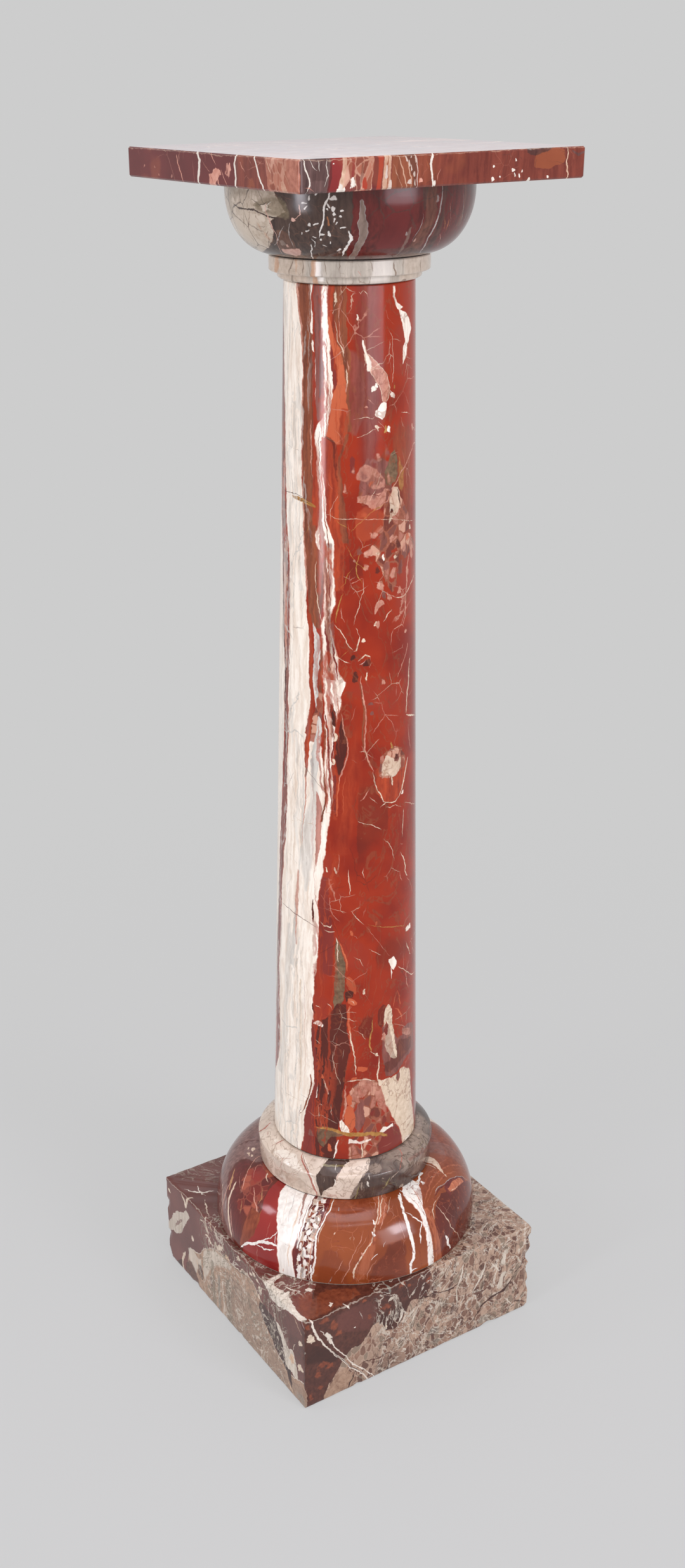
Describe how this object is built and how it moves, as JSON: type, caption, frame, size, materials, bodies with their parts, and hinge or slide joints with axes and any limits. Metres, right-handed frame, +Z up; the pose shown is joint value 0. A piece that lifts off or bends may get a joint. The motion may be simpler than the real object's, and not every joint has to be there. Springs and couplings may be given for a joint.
{
  "type": "pedestal column",
  "caption": "Round tapered marble column on a ring, torus and square plinth, with a collar, bowl capital and square top slab to display an object on.",
  "frame": {"origin": "on the floor, at the centre of the plinth's underside", "axes": "+Z up along the column's axis; +X and +Y square to the sides of the plinth and the slab, which are alike on all four sides"},
  "size_m": [0.27, 0.27, 1.1],
  "materials": {
    "plinth_stone": "honed, weathered",
    "torus_stone": "polished",
    "ring_stone": "polished",
    "shaft_stone": "polished",
    "collar_stone": "polished",
    "bowl_stone": "polished",
    "slab_stone": "polished",
    "bed_mortar": "matt cement",
    "zinc_steel": "zinc plated",
    "gasket_rubber": "matt"
  },
  "bodies": {
    "root": {"plinth_block": "plinth_stone", "base_torus": "torus_stone", "base_ring": "ring_stone", "shaft": "shaft_stone", "collar": "collar_stone", "capital_bowl": "bowl_stone", "top_slab": "slab_stone", "plinth_bed": "bed_mortar", "torus_bed": "bed_mortar", "ring_bed": "bed_mortar", "shaft_bed": "bed_mortar", "collar_bed": "bed_mortar", "slab_bed": "bed_mortar", "tie_rod": "zinc_steel", "slab_dowels": "zinc_steel", "foot_plate": "zinc_steel", "foot_lock_washer": "zinc_steel", "foot_nut": "zinc_steel", "head_plate": "zinc_steel", "head_lock_washer": "zinc_steel", "head_nut": "zinc_steel", "foot_gasket": "gasket_rubber", "head_gasket": "gasket_rubber"}
  },
  "joints": []
}
